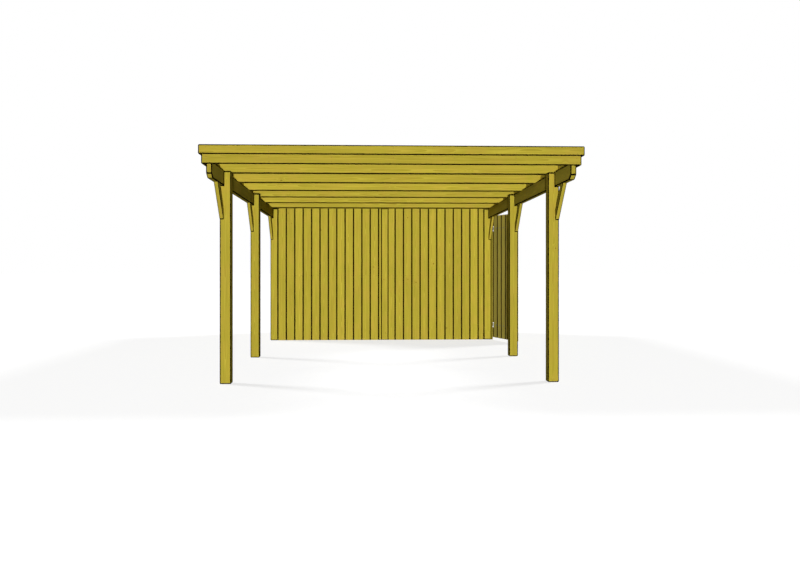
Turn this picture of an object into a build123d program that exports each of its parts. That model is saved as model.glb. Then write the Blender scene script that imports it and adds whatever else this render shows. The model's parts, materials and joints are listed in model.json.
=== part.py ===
"""Flat-roofed timber carport with a small store at its back end.

Millimetres. X runs across the carport, Y runs from the open front to the back, Z is up.
The ground is Z = 0. Y = 0 is the middle of the sole plate under the partition wall, and every
station along the length is first written as a distance behind the roof's front edge.
"""
from build123d import *
import math
import os

os.makedirs("parts", exist_ok=True)

# driving dimensions
ROOF_WIDTH = 3750.0          # over the upper fascia
CLEAR_WIDTH = 3350.0         # between the posts of a pair
ROOF_LENGTH = 7360.0         # over the upper fascia
FALL = 0.0211                # roof fall towards the back, mm per mm
POST = 120.0                 # square posts
PURLIN_T = 60.0
PURLIN_H = 160.0
PURLIN_PROUD = 20.0          # the purlin stands this far outside the posts
RAFTER_T = 60.0
RAFTER_H = 120.0
SEAT = 12.0                  # how deep the rafters are cut over the purlins
FASCIA_T = 25.0
UPPER_FASCIA_H = 94.0
LOWER_FASCIA_H = 141.0
RAFTER_SOFFIT = 2252.0       # underside of the rafters at the roof's front edge
POST_TOP = 2249.0            # at the roof's front edge, falling with it
UPPER_FASCIA_TOP = 2415.0
LOWER_FASCIA_BOTTOM = 2230.0
BOARD_T = 20.0
RAIL_T = 45.0
RAIL_H = 95.0

POST_STATIONS = (750.0, 3150.0, 5550.0, 7050.0)     # front faces of the posts
RAFTER_STATIONS = tuple(50.0 + 900.0 * i for i in range(9))
WALL_STATION = POST_STATIONS[2]
BACK_STATION = POST_STATIONS[3] + POST
ORIGIN_STATION = WALL_STATION + BOARD_T + RAIL_H / 2

POST_IN = CLEAR_WIDTH / 2
POST_OUT = POST_IN + POST
PURLIN_OUT = POST_OUT + PURLIN_PROUD
PURLIN_IN = PURLIN_OUT - PURLIN_T
RAFTER_END = ROOF_WIDTH / 2 - 2 * FASCIA_T

# door: a ledged and braced leaf, hung on pintles outside the third right-hand post
DOOR_OPEN_DEG = 161.0
DOORWAY = 680.0              # clear, behind the third right-hand post
DOOR_BOTTOM = 38.0
DOOR_TOP = 2023.0
DOOR_GAP = 5.0               # from the pin to the boards' edge
PIN_X = PURLIN_OUT + 17.0
PIN_STATION = WALL_STATION + 25.0
LEDGE_T = 22.0
LEDGE_H = 110.0
LEDGE_LEVELS = (275.0, 1675.0)
STOP_T = PURLIN_PROUD        # boards on the outer faces that the leaf closes over
HINGE_STOP_W = 110.0
LATCH_STOP_W = 40.0


def yy(station):
    """Y of a distance behind the roof's front edge."""
    return station - ORIGIN_STATION


def fall(station):
    """How far the roof has dropped at this station."""
    return FALL * station


def soffit(station):
    """Underside of the rafters."""
    return RAFTER_SOFFIT - fall(station)


def purlin_top(station):
    return soffit(station) + SEAT


def purlin_bottom(station):
    return purlin_top(station) - PURLIN_H


def save(piece, name):
    piece.part.label = name
    export_step(piece.part, f"parts/{name}.step")


def side_plane(x):
    """Plane seen from the side: local x runs to the back, local y runs up, normal +X."""
    return Plane(origin=(x, 0, 0), x_dir=(0, 1, 0), z_dir=(1, 0, 0))


def outline(points):
    """Corners of a closed outline on a side plane, from (station, z) pairs."""
    return [(yy(s), z) for s, z in points]


def sloped_bar(x_low, x_high, s0, s1, bottom, height):
    """Bar with upright ends whose bottom and top follow the roof's fall."""
    with BuildPart() as bar:
        with BuildSketch(side_plane(x_low)):
            Polygon(*outline([(s0, bottom - fall(s0)), (s1, bottom - fall(s1)),
                     (s1, bottom + height - fall(s1)), (s0, bottom + height - fall(s0))]), align=None)
        extrude(amount=x_high - x_low)
    return bar


def plain_bar(x_low, x_high, s0, s1, z0, z1):
    with BuildPart() as bar:
        with BuildSketch(side_plane(x_low)):
            Polygon(*outline([(s0, z0), (s1, z0), (s1, z1), (s0, z1)]), align=None)
        extrude(amount=x_high - x_low)
    return bar


# posts: notched on the outer side for the purlin
def notched_post(side, station):
    """Full section up to the purlin, then a tongue on the inner side of it."""
    s0, s1 = station, station + POST
    top0, top1 = POST_TOP - fall(s0), POST_TOP - fall(s1)
    seat0, seat1 = purlin_bottom(s0), purlin_bottom(s1)
    with BuildPart() as post:
        with BuildSketch(side_plane(side * POST_IN)):
            Polygon(*outline([(s0, 0), (s1, 0), (s1, top1), (s0, top0)]), align=None)
        extrude(amount=side * (PURLIN_IN - POST_IN))
        with BuildSketch(side_plane(side * PURLIN_IN)):
            Polygon(*outline([(s0, 0), (s1, 0), (s1, seat1), (s0, seat0)]), align=None)
        extrude(amount=side * (POST_OUT - PURLIN_IN))
    return post


for index, station in enumerate(POST_STATIONS, start=1):
    for side, word in ((-1, "left"), (1, "right")):
        save(notched_post(side, station), f"{word}_post_{index}")


# purlins: noses with the lower corner cut off
NOSE_START = 90.0            # behind the roof's front edge, and as far from its back edge
NOSE_RISE = 42.0
NOSE_RUN = 70.0
for side, word in ((-1, "left"), (1, "right")):
    s0, s1 = NOSE_START, ROOF_LENGTH - NOSE_START
    with BuildPart() as purlin:
        with BuildSketch(side_plane(side * PURLIN_IN)):
            Polygon(*outline([
                (s0, purlin_top(s0)), (s0, purlin_bottom(s0) + NOSE_RISE),
                (s0 + NOSE_RUN, purlin_bottom(s0 + NOSE_RUN)),
                (s1 - NOSE_RUN, purlin_bottom(s1 - NOSE_RUN)),
                (s1, purlin_bottom(s1) + NOSE_RISE), (s1, purlin_top(s1)),
            ]), align=None)
        extrude(amount=side * PURLIN_T)
    save(purlin, f"{word}_purlin")


# knee braces: one in front of each of the first three posts
BRACE_T = 45.0               # flush with the posts' outer faces
BRACE_REACH = 355.0          # level, from the post's face to the tip under the purlin
BRACE_DROP = 372.0           # from the tip down to the toe on the post
BRACE_WIDTH = 113.0          # measured level, along the purlin
slant = BRACE_DROP / BRACE_REACH
for side, word in ((-1, "left"), (1, "right")):
    with BuildPart() as braces:
        with BuildSketch(side_plane(side * (POST_OUT - BRACE_T))):
            for station in POST_STATIONS[:3]:
                tip, heel = station - BRACE_REACH, station - BRACE_REACH + BRACE_WIDTH
                toe = purlin_bottom(tip) - BRACE_DROP
                Polygon(*outline([
                    (tip, purlin_bottom(tip)), (station, toe), (station, toe + BRACE_WIDTH * slant),
                    (heel, purlin_bottom(heel)),
                ]), align=None)
        extrude(amount=side * BRACE_T)
    save(braces, f"{word}_braces")


# rafters: cut over the purlins at both ends
for index, station in enumerate(RAFTER_STATIONS):
    s0, s1 = station, station + RAFTER_T
    seat = outline([(s0, soffit(s0)), (s1, soffit(s1)), (s1, purlin_top(s1)), (s0, purlin_top(s0))])
    with BuildPart() as rafter:
        with BuildSketch(side_plane(-RAFTER_END)):
            Polygon(*outline([(s0, soffit(s0)), (s1, soffit(s1)), (s1, soffit(s1) + RAFTER_H),
                              (s0, soffit(s0) + RAFTER_H)]), align=None)
        extrude(amount=2 * RAFTER_END)
        for x in (-RAFTER_END, PURLIN_IN):
            with BuildSketch(side_plane(x)):
                Polygon(*seat, align=None)
            extrude(amount=RAFTER_END - PURLIN_IN, mode=Mode.SUBTRACT)
    save(rafter, f"rafter_{index}")


# two-step fascia round the roof
half = ROOF_WIDTH / 2
upper_bottom = UPPER_FASCIA_TOP - UPPER_FASCIA_H
save(sloped_bar(-half, half, 0, FASCIA_T, upper_bottom, UPPER_FASCIA_H), "front_upper_fascia")
save(sloped_bar(-half + FASCIA_T, half - FASCIA_T, FASCIA_T, 2 * FASCIA_T,
                LOWER_FASCIA_BOTTOM, LOWER_FASCIA_H), "front_lower_fascia")
BACK_UPPER_H = 50.0
save(sloped_bar(-half, half, ROOF_LENGTH - FASCIA_T, ROOF_LENGTH, upper_bottom, BACK_UPPER_H),
     "back_upper_fascia")
save(sloped_bar(-half + FASCIA_T, half - FASCIA_T, ROOF_LENGTH - 2 * FASCIA_T, ROOF_LENGTH - FASCIA_T,
                LOWER_FASCIA_BOTTOM, LOWER_FASCIA_H), "back_lower_fascia")
for side, word in ((-1, "left"), (1, "right")):
    edges = sorted((side * half, side * (half - FASCIA_T)))
    save(sloped_bar(*edges, FASCIA_T, ROOF_LENGTH - FASCIA_T, upper_bottom, UPPER_FASCIA_H),
         f"{word}_upper_fascia")
    edges = sorted((side * (half - FASCIA_T), side * (half - 2 * FASCIA_T)))
    save(sloped_bar(*edges, 2 * FASCIA_T, ROOF_LENGTH - 2 * FASCIA_T, LOWER_FASCIA_BOTTOM,
                    LOWER_FASCIA_H), f"{word}_lower_fascia")


# roof covering: trapezoidal steel sheet, falling to the back
SHEET_T = 0.7
RIB_PITCH = 205.0
RIB_H = 34.0
RIB_TOP = 60.0
RIB_FOOT = 105.0
RIB_COUNT = 18
SHEET_OVERHANG = 40.0
deck = RAFTER_SOFFIT + RAFTER_H
sheet_start = FASCIA_T + 4.0
sheet_end = ROOF_LENGTH + SHEET_OVERHANG
slope_angle = math.atan(FALL)
upper_line = []
for rib in range(RIB_COUNT):
    mid = (rib - (RIB_COUNT - 1) / 2) * RIB_PITCH
    upper_line += [(mid - RIB_FOOT / 2, 0), (mid - RIB_TOP / 2, RIB_H),
                   (mid + RIB_TOP / 2, RIB_H), (mid + RIB_FOOT / 2, 0)]
sheet_half = RIB_COUNT * RIB_PITCH / 2
upper_line = [(-sheet_half, 0)] + upper_line + [(sheet_half, 0)]
sheet_plane = Plane(
    origin=(0, yy(sheet_start), deck - fall(sheet_start)), x_dir=(1, 0, 0),
    z_dir=(0, -math.cos(slope_angle), math.sin(slope_angle)))
with BuildPart() as roof_sheet:
    with BuildSketch(sheet_plane):
        with BuildLine():
            Polyline(*[(x, z + SHEET_T) for x, z in upper_line],
                     *[(x, z) for x, z in reversed(upper_line)], close=True)
        make_face()
    extrude(amount=-(sheet_end - sheet_start) / math.cos(slope_angle))
save(roof_sheet, "roof_sheet")


# partition wall between the third pair of posts
STUD_LEFT, STUD_RIGHT = 3.0, 105.0
wall_top = soffit(WALL_STATION + BOARD_T)
save(plain_bar(-POST_IN, STUD_LEFT, WALL_STATION, WALL_STATION + BOARD_T, 0, wall_top),
     "wall_boards_left")
save(plain_bar(STUD_RIGHT, POST_IN, WALL_STATION, WALL_STATION + BOARD_T, 0, wall_top),
     "wall_boards_right")


def wall_frame(front, back, stud_front, stud_back, top_z):
    """Sole plate, middle rail and top rail between two posts, with a stud near the middle."""
    low, high = sorted((front, back))
    with BuildPart() as frame:
        for z0, z1, depth in ((0, RAIL_T, RAIL_H), (1000, 1000 + RAIL_H, RAIL_T),
                              (top_z - RAIL_H, top_z, RAIL_T)):
            s0, s1 = (front, front + depth) if back > front else (front - depth, front)
            with BuildSketch(side_plane(-POST_IN)):
                Polygon(*outline([(s0, z0), (s1, z0), (s1, z1), (s0, z1)]), align=None)
            extrude(amount=2 * POST_IN)
        with BuildSketch(side_plane(STUD_LEFT)):
            Polygon(*outline([(stud_front, 0), (stud_back, 0), (stud_back, top_z), (stud_front, top_z)]), align=None)
        extrude(amount=STUD_RIGHT - STUD_LEFT)
    return frame


front_frame = wall_frame(WALL_STATION + BOARD_T, WALL_STATION + POST,
                         WALL_STATION, WALL_STATION + BOARD_T + RAIL_H,
                         soffit(WALL_STATION + BOARD_T + RAIL_H))
save(front_frame, "wall_frame")


# back wall, boards flush with the backs of the last posts
back_top = soffit(BACK_STATION)
save(plain_bar(-POST_IN, POST_IN, BACK_STATION - BOARD_T, BACK_STATION, 0, back_top), "back_boards")
back_frame = wall_frame(BACK_STATION - BOARD_T, BACK_STATION - POST,
                        BACK_STATION - BOARD_T - RAIL_H, BACK_STATION - BOARD_T, back_top)
save(back_frame, "back_frame")


# side walls of the store: boards between the posts, flush with their outer faces
doorway_start = WALL_STATION + POST
doorway_end = doorway_start + DOORWAY
JAMB_W = 80.0
JAMB_T = 60.0
MIDDLE_RAIL = 1000.0         # level of the middle rails' underside


def uprights(x_low, x_high, *spans):
    """Upright timbers from the ground to the sloping underside of the purlin."""
    with BuildPart() as timber:
        with BuildSketch(side_plane(x_low)):
            for s0, s1 in spans:
                Polygon(*outline([(s0, 0), (s1, 0), (s1, purlin_bottom(s1)), (s0, purlin_bottom(s0))]),
                        align=None)
        extrude(amount=x_high - x_low)
    return timber


board_in = POST_OUT - BOARD_T
save(uprights(-POST_OUT, -board_in, (doorway_start, POST_STATIONS[3])), "left_side_boards")
save(uprights(board_in, POST_OUT, (doorway_end, POST_STATIONS[3])), "right_side_boards")
save(uprights(board_in - JAMB_T, board_in, (doorway_end, doorway_end + JAMB_W)), "door_jamb")
save(uprights(POST_OUT, POST_OUT + STOP_T, (doorway_start - HINGE_STOP_W, doorway_start),
              (doorway_end, doorway_end + LATCH_STOP_W)), "door_stops")
for side, word, start in ((-1, "left", doorway_start), (1, "right", doorway_end + JAMB_W)):
    end = POST_STATIONS[3]
    with BuildPart() as side_rails:
        with BuildSketch(side_plane(side * board_in)):
            for low in (0.0, MIDDLE_RAIL):
                high = low + (RAIL_H if low else RAIL_T)
                Polygon(*outline([(start, low), (end, low), (end, high), (start, high)]), align=None)
            Polygon(*outline([
                (start, purlin_bottom(start) - RAIL_H), (end, purlin_bottom(end) - RAIL_H),
                (end, purlin_bottom(end)), (start, purlin_bottom(start)),
            ]), align=None)
        extrude(amount=-side * RAIL_T)
    save(side_rails, f"{word}_side_rails")


# door leaf, standing open
turn = math.radians(90 - DOOR_OPEN_DEG)
leaf_dir = Vector(math.cos(turn), math.sin(turn), 0)
leaf_in = Vector(-math.sin(turn), math.cos(turn), 0)     # towards the ledged side
pin = Vector(PIN_X, yy(PIN_STATION), 0)
door_end = doorway_end + LATCH_STOP_W - PIN_STATION      # from the pin, along the leaf


def leaf_plane(level):
    """Level plane at the pin: local x along the leaf, local y towards its ledged side."""
    return Plane(origin=(pin.X, pin.Y, level), x_dir=leaf_dir, z_dir=(0, 0, 1))


LEAF_OUT = -12.0             # outer face of the boards, measured from the pin
LEAF_IN = LEAF_OUT + BOARD_T
PIN_R = 6.0
EYE_R = 12.0
PIN_PLAY = 0.05
STRAP_T = 4.0
STRAP_H = 40.0
STRAP_LENGTH = 400.0
STRAP_GAP = 10.0             # between a strap and the ledge beside it
STRAP_LEVELS = (LEDGE_LEVELS[0] - STRAP_GAP - STRAP_H, LEDGE_LEVELS[1] + LEDGE_H + STRAP_GAP)
ARM_H = 15.0                 # the pintle's arm, just below the eye
ARM_W = 16.0
ARM_R = 9.0
ARM_DROP = 16.0              # from the strap's lower edge down to the arm's underside
PLATE_T = 3.0
PLATE_W = 40.0
PLATE_H = 90.0
PLATE_TOP = -2.0             # measured from the strap's lower edge
CUT_ROOM = 8.0               # clear height above the pin and below the arm in the boards' cut-outs
CUT_DEPTH = 21.0
PIN_TOP = STRAP_H + 6.0

with BuildPart() as door_boards:
    with BuildSketch(leaf_plane(DOOR_BOTTOM)):
        with Locations(((DOOR_GAP + door_end) / 2, (LEAF_OUT + LEAF_IN) / 2)):
            Rectangle(door_end - DOOR_GAP, BOARD_T)
    extrude(amount=DOOR_TOP - DOOR_BOTTOM)
    for level in STRAP_LEVELS:
        with BuildSketch(leaf_plane(level - ARM_DROP - CUT_ROOM)):
            with Locations((CUT_DEPTH / 2, (LEAF_OUT + LEAF_IN) / 2)):
                Rectangle(CUT_DEPTH, BOARD_T)
        extrude(amount=ARM_DROP + PIN_TOP + 2 * CUT_ROOM, mode=Mode.SUBTRACT)
save(door_boards, "door_boards")

LEDGE_ROOM = 6.0             # from the ledges' ends to the stops
BRACE_SPREAD = 120.0         # level length of the brace's ends
BRACE_INSET = 20.0
ledge_start = doorway_start + LEDGE_ROOM - PIN_STATION
ledge_end = doorway_end - LEDGE_ROOM - PIN_STATION
with BuildPart() as door_ledges:
    for level in LEDGE_LEVELS:
        with BuildSketch(leaf_plane(level)):
            with Locations(((ledge_start + ledge_end) / 2, LEAF_IN + LEDGE_T / 2)):
                Rectangle(ledge_end - ledge_start, LEDGE_T)
        extrude(amount=LEDGE_H)
    with BuildSketch(Plane(origin=pin + leaf_in * LEAF_IN, x_dir=leaf_dir, z_dir=-leaf_in)):
        foot, head = LEDGE_LEVELS[0] + LEDGE_H, LEDGE_LEVELS[1]
        Polygon((ledge_start + BRACE_INSET, foot), (ledge_start + BRACE_INSET + BRACE_SPREAD, foot),
                (ledge_end - BRACE_INSET, head), (ledge_end - BRACE_INSET - BRACE_SPREAD, head),
                align=None)
    extrude(amount=-LEDGE_T)
save(door_ledges, "door_ledges")


with BuildPart() as hinge_straps:
    for level in STRAP_LEVELS:
        with BuildSketch(leaf_plane(level)):
            Circle(EYE_R)
            with Locations((STRAP_LENGTH / 2, LEAF_IN + STRAP_T / 2)):
                Rectangle(STRAP_LENGTH, STRAP_T)
            Circle(PIN_R + PIN_PLAY, mode=Mode.SUBTRACT)
        extrude(amount=STRAP_H)
    across = hinge_straps.edges().filter_by(Axis(pin, leaf_in))
    fillet(across.group_by(Axis(pin, leaf_dir))[-1], STRAP_H / 2 - 1)
save(hinge_straps, "hinge_straps")

stop_out = POST_OUT + STOP_T
with BuildPart() as pintles:
    for level in STRAP_LEVELS:
        with BuildSketch(Plane(origin=(pin.X, pin.Y, level - ARM_DROP))):
            Circle(ARM_R)
            with Locations(((stop_out - PIN_X) / 2, 0)):
                Rectangle(PIN_X - stop_out, ARM_W)
        extrude(amount=ARM_H)
        with BuildSketch(Plane(origin=(pin.X, pin.Y, level - ARM_DROP))):
            Circle(PIN_R)
        extrude(amount=ARM_DROP + PIN_TOP)
        with BuildSketch(Plane(origin=(stop_out, pin.Y, level + PLATE_TOP))):
            with Locations((PLATE_T / 2, 0)):
                Rectangle(PLATE_T, PLATE_W)
        extrude(amount=-PLATE_H)
    pin_tops = pintles.edges().filter_by(GeomType.CIRCLE).filter_by(
        lambda edge: any(abs(edge.center().Z - level - PIN_TOP) < 0.1 for level in STRAP_LEVELS))
    chamfer(pin_tops, PIN_R / 4)
save(pintles, "hinge_pintles")


# bow handle on the outer face, near the free edge
HANDLE_LEVEL = 980.0
HANDLE_SPAN = 150.0
HANDLE_REACH = 38.0
HANDLE_R = 5.0
HANDLE_INSET = 60.0
handle_face = Plane(origin=pin + leaf_in * LEAF_OUT + leaf_dir * (door_end - HANDLE_INSET)
                    + Vector(0, 0, HANDLE_LEVEL), x_dir=(0, 0, 1), z_dir=-leaf_in)
bow_plane = Plane(origin=handle_face.origin, x_dir=(0, 0, 1), z_dir=leaf_dir)
with BuildPart() as door_handle:
    with BuildLine(bow_plane):
        bow = FilletPolyline((-HANDLE_SPAN / 2, 0), (-HANDLE_SPAN / 2, HANDLE_REACH),
                             (HANDLE_SPAN / 2, HANDLE_REACH), (HANDLE_SPAN / 2, 0), radius=20)
    with BuildSketch(Plane(origin=bow @ 0, z_dir=bow % 0)):
        Circle(HANDLE_R)
    sweep(path=bow)
save(door_handle, "door_handle")
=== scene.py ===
"""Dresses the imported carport: planed green-treated pine, coated roof sheet and galvanised ironwork.

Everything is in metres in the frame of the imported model: X across the carport, Y from the open
front to the store, Z up from the ground.
"""
import json
import logging
import math
import random
from dataclasses import dataclass, field
from enum import Enum

import bmesh
import bpy
from mathutils import Matrix, Vector


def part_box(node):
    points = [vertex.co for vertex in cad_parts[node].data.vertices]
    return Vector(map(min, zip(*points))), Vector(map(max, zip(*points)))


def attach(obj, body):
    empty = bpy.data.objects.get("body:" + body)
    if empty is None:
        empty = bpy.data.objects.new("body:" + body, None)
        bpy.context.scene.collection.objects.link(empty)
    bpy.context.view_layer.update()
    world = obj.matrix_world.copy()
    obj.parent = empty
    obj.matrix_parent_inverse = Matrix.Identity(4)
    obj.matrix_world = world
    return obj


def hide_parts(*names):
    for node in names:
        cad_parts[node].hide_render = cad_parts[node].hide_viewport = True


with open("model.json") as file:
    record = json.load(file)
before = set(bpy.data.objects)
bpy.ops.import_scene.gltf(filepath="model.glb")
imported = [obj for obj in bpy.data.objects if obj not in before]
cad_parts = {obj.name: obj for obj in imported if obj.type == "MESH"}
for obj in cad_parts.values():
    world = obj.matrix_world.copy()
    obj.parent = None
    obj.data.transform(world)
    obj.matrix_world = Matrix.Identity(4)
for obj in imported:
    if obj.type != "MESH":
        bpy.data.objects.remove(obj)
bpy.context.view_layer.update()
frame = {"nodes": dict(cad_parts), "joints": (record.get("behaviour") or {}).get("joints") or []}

log = logging.getLogger("carport")

MM = 0.001
X, Y, Z = Vector((1, 0, 0)), Vector((0, 1, 0)), Vector((0, 0, 1))
SIDES = (("left", -X), ("right", X))

# sizes of the solids that their boxes don't tell
FALL = 0.0211                   # roof fall towards the back
POSTS = 4                       # on each side
RAFTERS = 9
PURLIN_H = 160 * MM
NOSE_RISE = 42 * MM             # the cut under each purlin's nose
NOSE_RUN = 70 * MM
RAIL_T = 45 * MM                # the rails' and sole plates' thin side
RAIL_W = 95 * MM                # and their wide side
MIDDLE_RAIL = 1.0               # height of the middle rails' underside

# limits for work on meshes
WELD = 0.02 * MM                # distance under which two corners of a frame mesh are one
FLAT = math.radians(0.4)        # turn under which two faces of a frame mesh are one
FACING = 0.99                   # cosine over which a face looks a given way
END_CUT = 0.9                   # cosine to the grain over which a face is a sawn end
SHARP = math.radians(50.0)      # turn over which an edge of the ironwork is forged blunt
ARRIS_STEPS = 3                 # faces round an arris
SMOOTH_WOOD = 40.0              # degrees under which planed wood is shaded smooth
SMOOTH_IRON = 35.0              # and ironwork


def linear(hex_colour: str) -> tuple[float, float, float, float]:
    """Turns an sRGB hex colour into the linear colour that a shader socket takes.

    Args:
        hex_colour: six hex digits.

    Returns:
        Linear red, green and blue, and an alpha of 1.
    """
    channels = [int(hex_colour[i:i + 2], 16) / 255 for i in (0, 2, 4)]
    lit = [c / 12.92 if c <= 0.04045 else ((c + 0.055) / 1.055) ** 2.4 for c in channels]
    return (lit[0], lit[1], lit[2], 1.0)


def add_node(
    tree: bpy.types.NodeTree, kind: str, inputs: dict | None = None, **settings: object
) -> bpy.types.Node:
    """Adds one shader node with its settings, values and links.

    Args:
        tree: the node tree that gets the node.
        kind: the node's type name.
        inputs: a value or an output socket for each input, by the input's name or number.
        settings: the node's own properties.

    Returns:
        The new node.
    """
    node = tree.nodes.new(kind)
    for key, value in settings.items():
        setattr(node, key, value)
    for key, value in (inputs or {}).items():
        if isinstance(value, bpy.types.NodeSocket):
            tree.links.new(value, node.inputs[key])
        else:
            node.inputs[key].default_value = value
    return node


def blank_material(name: str) -> tuple[bpy.types.Material, bpy.types.NodeTree]:
    """Makes a material with an empty node tree.

    Args:
        name: the material's name.

    Returns:
        The material and its node tree.
    """
    material = bpy.data.materials.new(name)
    material.use_nodes = True
    material.node_tree.nodes.clear()
    return material, material.node_tree


@dataclass(frozen=True)
class PlanedPine:
    """Planed Scots pine, green-treated: yellow-olive, satin, with growth rings, fibre and knots.

    The rings and knots are solid in the wood, so they run on round a corner and show as rings on an
    end. The arrises and the joints between boards are darkened with painted shade. Sizes in pairs
    are along the grain and across it.
    """

    name: str
    early: str = "C3B33F"           # pale wood grown in spring
    late: str = "AB9A30"            # denser summer wood
    warm: str = "C3A541"            # patches where the treatment took up less
    knot: str = "8E7628"
    seam: str = "171105"            # painted shade in the joints and along the arrises
    ring_mm: float = 4.2
    wander_mm: float = 26.0         # how far the rings wander from their round
    wander_size_mm: tuple[float, float] = (1111.11, 142.857)
    fibre_size_mm: tuple[float, float] = (111.111, 1.6)
    streak_size_mm: tuple[float, float] = (625.0, 50.0)
    patch_mm: float = 200.0
    knot_mm: float = 12.0
    knots_apart_mm: tuple[float, float] = (1100.0, 150.0)
    # how distances from a knot count, along the grain and out from the pith: a knot is a branch,
    # so it is longest on its way out
    knot_counts: tuple[float, float] = (0.75, 0.35)
    knot_heart: tuple[float, float] = (0.55, 1.0)   # where it fades out, in knot radii
    knot_halo: tuple[float, float] = (0.5, 4.0)     # where the rings give way to it
    ring_bend: float = 9.0          # and how far they do
    fibre_depth: float = 0.34       # brightness from the darkest fibre to the lightest
    streak_depth: float = 0.4
    roughness: tuple[float, float] = (0.70, 0.88)

    def drawn_out_noise(
        self, tree: bpy.types.NodeTree, where: bpy.types.NodeSocket, size_mm: tuple[float, float],
        detail: float,
    ) -> bpy.types.Node:
        """Makes a noise that is longer along the grain than across it.

        Args:
            tree: the wood's node tree.
            where: the place in the log, in metres.
            size_mm: the noise's size.
            detail: how many finer layers it has.

        Returns:
            The noise's node.
        """
        along, across = (1 / (size * MM) for size in size_mm)
        scaled = add_node(tree, "ShaderNodeVectorMath", {0: where, 1: (along, across, across)},
                          operation="MULTIPLY")
        return add_node(tree, "ShaderNodeTexNoise",
                        {"Vector": scaled.outputs[0], "Scale": 1.0, "Detail": detail})

    def knots(
        self, tree: bpy.types.NodeTree, where: bpy.types.NodeSocket
    ) -> list[bpy.types.NodeSocket]:
        """Scatters knots through the log.

        Args:
            tree: the wood's node tree.
            where: the place in the log, in metres.

        Returns:
            The knots' hearts and the halos round them, each 1 inside and 0 outside.
        """
        run, apart = (size * MM for size in self.knots_apart_mm)
        cell = add_node(tree, "ShaderNodeVectorMath", {0: where, 1: (1 / run, 1 / apart, 1 / apart)},
                        operation="MULTIPLY")
        nearest = add_node(tree, "ShaderNodeTexVoronoi", {"Vector": cell.outputs[0], "Scale": 1.0})
        away = add_node(tree, "ShaderNodeVectorMath",
                        {0: cell.outputs[0], 1: nearest.outputs["Position"]}, operation="SUBTRACT")
        lengthways, outwards = self.knot_counts
        metric = add_node(tree, "ShaderNodeVectorMath",
                          {0: away.outputs[0], 1: (lengthways * run, apart, outwards * apart)},
                          operation="MULTIPLY")
        distance = add_node(tree, "ShaderNodeVectorMath", {0: metric.outputs[0]}, operation="LENGTH")
        radius = self.knot_mm * MM
        return [
            add_node(tree, "ShaderNodeMapRange",
                     {"Value": distance.outputs["Value"], "From Min": radius * inner,
                      "From Max": radius * outer, "To Min": 1.0, "To Max": 0.0},
                     interpolation_type="SMOOTHSTEP").outputs[0]
            for inner, outer in (self.knot_heart, self.knot_halo)
        ]

    def rings(
        self, tree: bpy.types.NodeTree, where: bpy.types.NodeSocket, halo: bpy.types.NodeSocket
    ) -> bpy.types.NodeSocket:
        """Draws the growth rings, which wander and give way to the knots.

        Args:
            tree: the wood's node tree.
            where: the place in the log, in metres.
            halo: 1 near a knot and 0 away from it.

        Returns:
            0 in spring wood and 1 in summer wood.
        """
        wander = self.drawn_out_noise(tree, where, self.wander_size_mm, 2.0)
        centred = add_node(tree, "ShaderNodeVectorMath",
                           {0: wander.outputs["Color"], 1: (0.5, 0.5, 0.5)}, operation="SUBTRACT")
        shift = add_node(tree, "ShaderNodeVectorMath",
                         {0: centred.outputs[0], "Scale": self.wander_mm * MM}, operation="SCALE")
        wandered = add_node(tree, "ShaderNodeVectorMath", {0: where, 1: shift.outputs[0]},
                            operation="ADD")
        bend = add_node(tree, "ShaderNodeMath", {0: halo, 1: self.ring_bend}, operation="MULTIPLY")
        period = 0.314      # metres from ring to ring in a wave texture of scale 1
        return add_node(tree, "ShaderNodeTexWave",
                        {"Vector": wandered.outputs[0], "Scale": period / (self.ring_mm * MM),
                         "Distortion": 1.6, "Detail": 2.0, "Detail Scale": 0.02,
                         "Phase Offset": bend.outputs[0]},
                        wave_type="RINGS", rings_direction="X", wave_profile="SAW").outputs["Fac"]

    def material(self) -> bpy.types.Material:
        """Builds the wood's node tree.

        Returns:
            The finished material.
        """
        material, tree = blank_material(self.name)
        where, tone_and_light, seam = (
            add_node(tree, "ShaderNodeAttribute", attribute_name=layer).outputs[output]
            for layer, output in (("grain", "Vector"), ("tone_and_light", "Fac"), ("seam", "Fac")))

        heart, halo = self.knots(tree, where)
        rings = self.rings(tree, where, halo)
        fibre = self.drawn_out_noise(tree, where, self.fibre_size_mm, 3.0).outputs["Fac"]
        streaks = self.drawn_out_noise(tree, where, self.streak_size_mm, 3.0).outputs["Fac"]
        patches = add_node(tree, "ShaderNodeTexNoise",
                           {"Vector": where, "Scale": 1 / (self.patch_mm * MM), "Detail": 3.0,
                            "Roughness": 0.6})
        warmth = add_node(tree, "ShaderNodeMapRange",
                          {"Value": patches.outputs["Fac"], "From Min": 0.42, "From Max": 0.68,
                           "To Min": 0.0, "To Max": 0.45})

        ringed = add_node(tree, "ShaderNodeMix",
                          {0: rings, 6: linear(self.early), 7: linear(self.late)},
                          data_type="RGBA")
        warmed = add_node(tree, "ShaderNodeMix",
                          {0: warmth.outputs[0], 6: ringed.outputs[2], 7: linear(self.warm)},
                          data_type="RGBA")
        # each face's shade from the layer: the timber's own shade, darker sawn ends, and painted
        # light and shade
        shade = tone_and_light
        for share, depth in ((fibre, self.fibre_depth), (streaks, self.streak_depth)):
            level = add_node(tree, "ShaderNodeMath", {0: share, 1: depth, 2: 1 - depth / 2},
                             operation="MULTIPLY_ADD")
            shade = add_node(tree, "ShaderNodeMath", {0: shade, 1: level.outputs[0]},
                             operation="MULTIPLY").outputs[0]
        lit = add_node(tree, "ShaderNodeVectorMath", {0: warmed.outputs[2], "Scale": shade},
                       operation="SCALE")
        knotted = add_node(tree, "ShaderNodeMix",
                           {0: heart, 6: lit.outputs[0], 7: linear(self.knot)}, data_type="RGBA")
        # painted shade along the arrises and in the joints
        shade_painted = add_node(tree, "ShaderNodeMix",
                           {0: seam, 6: knotted.outputs[2], 7: linear(self.seam)},
                           data_type="RGBA")

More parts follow.
